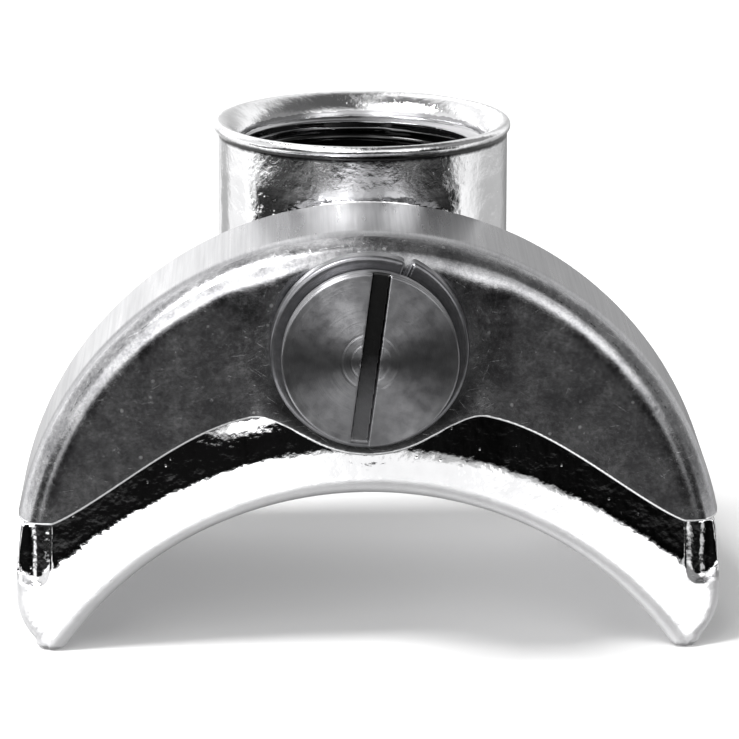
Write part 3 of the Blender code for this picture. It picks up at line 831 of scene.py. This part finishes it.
def make_body():
    """The casting: chrome outside, turned lines in the bore."""
    knots = (
        (1, (-30.0, -1.0, 3.2, 50.0), (-30.0, -1.0, 5.3, 52.1)),
        (2, (-10.0, 22.5, 30.0), (-10.0, 22.5, 37.5)),
    )
    body = cast_piece("cast_arch_body", "spout_body", body_field, 0.34, knots,
                      marks=(("under_height", under_height),
                             ("corner_distance", corner_distance)))

    def in_bore(p):
        out = np.hypot(p[:, 0], p[:, 1] - COLLAR_Y)
        return (out < MOUTH_R + 0.1) & (p[:, 2] > WELL_FLOOR + 1.0)

    assign_by_place(body, (chrome_material(), bore_material()), in_bore)
    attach(body, "body")
    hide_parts("spout_body")


def make_cover():
    """The crescent cover: polished front, brushed rim."""
    cover = cast_piece("crescent_hood", "crescent_cover", cover_field, 0.18,
                       marks=(("edge_distance", edge_distance),))

    def finish(p):
        out = np.hypot(p[:, 0], p[:, 2])
        return (out > COVER_R - 0.25) & (p[:, 1] > RIM_EDGE_Y)

    assign_by_place(cover, (front_steel(), rim_steel()), finish)
    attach(cover, "cover")
    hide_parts("crescent_cover")


def make_washer():
    """The split spring washer."""
    washer = cast_piece("split_washer", "spring_washer", washer_field, 0.13)
    assign_by_place(washer, (wire_steel(),), lambda p: np.zeros(len(p)))
    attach(washer, "cover")
    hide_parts("spring_washer")


def make_screw():
    """The slotted screw."""
    screw = cast_piece("slotted_screw", "cover_screw", screw_field, 0.13)

    def in_slot(p):
        height = p[:, 2] - SCREW_Z
        across = p[:, 0] * math.cos(SLOT_TILT) - height * math.sin(SLOT_TILT)
        return (np.abs(across) < SLOT_HALF + 0.02) & (p[:, 1] < HEAD_FRONT + SLOT_DEPTH + 0.1)

    assign_by_place(screw, (turned_steel(), slot_steel()), in_slot)
    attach(screw, "screw")
    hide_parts("cover_screw")


# Camera: aim and distance are in the arch's frame, in millimetres
CAMERA_PITCH = math.radians(14.35)
CAMERA_YAW = math.radians(1.15)
CAMERA_DISTANCE = 300.0
CAMERA_AIM = (0.03, 0.0, 14.87)
CAMERA_SENSOR = 36.0
CAMERA_FOCAL = 6.22 * CAMERA_SENSOR


def make_camera():
    """Place the camera, a little above the collar and turned slightly to one side."""
    ahead = Vector((0.0, math.cos(CAMERA_PITCH), -math.sin(CAMERA_PITCH)))
    spot = Vector(CAMERA_AIM) - ahead * CAMERA_DISTANCE
    undo = Matrix.Rotation(-CAMERA_YAW, 3, "Z")
    spot = undo @ spot
    ahead = undo @ ahead
    data = bpy.data.cameras.new("camera")
    data.sensor_width = CAMERA_SENSOR
    data.lens = CAMERA_FOCAL
    data.clip_start = 0.01
    data.clip_end = 20.0
    camera = bpy.data.objects.new("camera", data)
    camera.location = Vector(to_row([spot])[0])
    camera.rotation_euler = ahead.to_track_quat("-Z", "Y").to_euler()
    bpy.context.scene.collection.objects.link(camera)
    bpy.context.scene.camera = camera


def make_floor():
    """A wide pale floor under the feet."""
    bm = bmesh.new()
    bmesh.ops.create_grid(bm, x_segments=1, y_segments=1, size=3.0)
    mesh = bpy.data.meshes.new("floor")
    bm.to_mesh(mesh)
    bm.free()
    floor = bpy.data.objects.new("floor", mesh)
    bpy.context.scene.collection.objects.link(floor)
    material, shader, _ = shader_material("pale_floor", (0.86, 0.86, 0.86), 0.0, 0.9)
    shader.inputs["Specular IOR Level"].default_value = 0.1
    mesh.materials.append(material)
    floor.visible_glossy = False


def make_world():
    """A white studio with a dark band before the arch and greyer walls on the right."""
    world = bpy.data.worlds.new("studio")
    bpy.context.scene.world = world
    world.use_nodes = True
    tree = world.node_tree
    background = tree.nodes["Background"]
    source = tree.nodes.new("ShaderNodeTexCoord")
    split = tree.nodes.new("ShaderNodeSeparateXYZ")
    tree.links.new(source.outputs["Generated"], split.inputs["Vector"])
    across, back, up = split.outputs["X"], split.outputs["Y"], split.outputs["Z"]
    flat = arithmetic(tree, "SUBTRACT", 1.0001, arithmetic(tree, "MULTIPLY", up, up))
    flat = arithmetic(tree, "SQRT", flat)
    side = arithmetic(tree, "DIVIDE", across, flat)
    ahead = arithmetic(tree, "MULTIPLY", arithmetic(tree, "DIVIDE", back, flat), -1.0)

    # The dark band before the arch, cut off by a slanting edge
    skew = arithmetic(tree, "MULTIPLY", side, remap(tree, up, -0.20, -0.08, 0.17, 0.0))
    skewed = arithmetic(tree, "SUBTRACT", ahead, skew)
    skewed = arithmetic(tree, "SUBTRACT", skewed, remap(tree, up, -0.20, -0.08, 0.0, 0.35))
    sector = remap(tree, skewed, -0.10, 0.10, 0.0, 1.0)
    below = remap(tree, up, -0.56, -0.46, 0.0, 1.0)
    above = remap(tree, up, 0.09, 0.20, 1.0, 0.0)
    band = arithmetic(tree, "MULTIPLY", below, above)
    dark = arithmetic(tree, "MULTIPLY", band, sector)

    # Greyer walls on the right and behind
    right = remap(tree, side, 0.76, 0.88, 0.0, 0.75)
    raised = product(tree, remap(tree, up, -0.12, 0.0, 0.0, 1.0),
                     remap(tree, up, 0.80, 0.92, 1.0, 0.0))
    wall = arithmetic(tree, "MULTIPLY", right, raised)

    rear = product(tree, remap(tree, ahead, -0.80, -0.95, 0.0, 1.0),
                   remap(tree, side, -0.15, 0.25, 0.05, 0.48),
                   remap(tree, up, 0.35, 0.60, 1.0, 0.0))

    # The band's depth: darker higher up, with streaks and two bright slits
    streaks = arithmetic(tree, "COSINE", arithmetic(tree, "MULTIPLY", side, 9.24))
    depth = remap(tree, up, -0.36, -0.12, 0.82, 0.995)
    level = arithmetic(tree, "SUBTRACT", 1.0, depth)
    level = arithmetic(tree, "MULTIPLY", level, remap(tree, streaks, -1.0, 1.0, 0.2, 1.0))
    off_axis = arithmetic(tree, "SUBTRACT", arithmetic(tree, "ABSOLUTE", side), 0.55)
    slit = remap(tree, arithmetic(tree, "ABSOLUTE", off_axis), 0.05, 0.11, 0.6, 0.0)
    slit = arithmetic(tree, "MULTIPLY", slit, remap(tree, up, -0.14, -0.10, 0.0, 1.0))
    level = arithmetic(tree, "MAXIMUM", level, slit)
    depth = arithmetic(tree, "SUBTRACT", 1.0, level)
    strength = arithmetic(tree, "SUBTRACT", 1.0, arithmetic(tree, "MULTIPLY", dark, depth))

    # A grey stripe, the ceiling with its skylight, and an edge behind on the left
    stripe = product(tree, sector,
                     remap(tree, side, 0.08, 0.16, 0.0, 0.5),
                     remap(tree, side, 0.28, 0.36, 1.0, 0.0),
                     remap(tree, up, 0.26, 0.34, 1.0, 0.0),
                     remap(tree, up, 0.0, 0.05, 0.0, 1.0))
    ceiling = remap(tree, up, 0.60, 0.90, 0.0, 0.90)
    skylight = arithmetic(tree, "MULTIPLY", remap(tree, side, -0.35, 0.0, 0.9, 0.0),
                          remap(tree, side, -0.72, -0.62, 0.0, 1.0))
    ceiling = arithmetic(tree, "MULTIPLY", ceiling, arithmetic(tree, "SUBTRACT", 1.0, skylight))
    edge = product(tree, remap(tree, side, -0.72, -0.64, 0.0, 0.5),
                   remap(tree, side, -0.42, -0.34, 1.0, 0.0),
                   remap(tree, ahead, -0.55, -0.70, 0.0, 1.0))

    # Greyer on the far left and low down at the back
    left = remap(tree, side, -0.90, -0.80, 0.55, 0.0)
    left = arithmetic(tree, "MULTIPLY", left, raised)
    beneath = remap(tree, back, 0.0, 0.35, 0.0, 0.5)
    beneath = arithmetic(tree, "MULTIPLY", beneath, remap(tree, up, -0.20, -0.05, 1.0, 0.0))

    for shade in (wall, rear, stripe, ceiling, edge, left, beneath):
        keep = arithmetic(tree, "SUBTRACT", 1.0, shade)
        strength = arithmetic(tree, "MULTIPLY", strength, keep)

    # Brighter window side, and two lamps ahead
    window = remap(tree, side, -0.25, -0.05, 1.9, 1.0)
    strength = arithmetic(tree, "MULTIPLY", strength, window)
    left_lamp = product(tree, remap(tree, side, -0.50, -0.40, 0.0, 0.9),
                        remap(tree, side, -0.20, -0.12, 1.0, 0.0))
    right_lamp = product(tree, remap(tree, side, 0.34, 0.42, 0.0, 1.2),
                         remap(tree, side, 0.64, 0.74, 1.0, 0.0))
    lamps = product(tree, arithmetic(tree, "ADD", left_lamp, right_lamp),
                    remap(tree, up, 0.10, 0.18, 0.0, 1.0),
                    remap(tree, up, 0.42, 0.52, 1.0, 0.0),
                    remap(tree, ahead, 0.0, 0.2, 0.0, 1.0))
    lamps = arithmetic(tree, "ADD", lamps, 1.0)
    under = remap(tree, up, -0.80, -0.62, 0.35, 1.0)
    strength = product(tree, strength, lamps, under, 1.1)
    tree.links.new(strength, background.inputs["Strength"])
    background.inputs["Color"].default_value = (1.0, 1.0, 1.0, 1.0)


def make_light(name, place, size, power):
    """A soft area light aimed at the arch; place and size are in millimetres."""
    data = bpy.data.lights.new(name, "AREA")
    data.shape = "DISK"
    data.size = size * MM
    data.energy = power
    light = bpy.data.objects.new(name, data)
    light.location = Vector(to_row([place])[0])
    aim = Vector(to_row([(0.0, 10.0, 5.0)])[0])
    light.rotation_euler = (aim - light.location).to_track_quat("-Z", "Y").to_euler()
    bpy.context.scene.collection.objects.link(light)


make_camera()
make_floor()
make_world()
make_light("key", (-200.0, -60.0, 350.0), 160.0, 1.9)
bpy.context.scene.view_settings.view_transform = "Standard"
make_body()
make_cover()
make_washer()
make_screw()

bpy.context.view_layer.update()
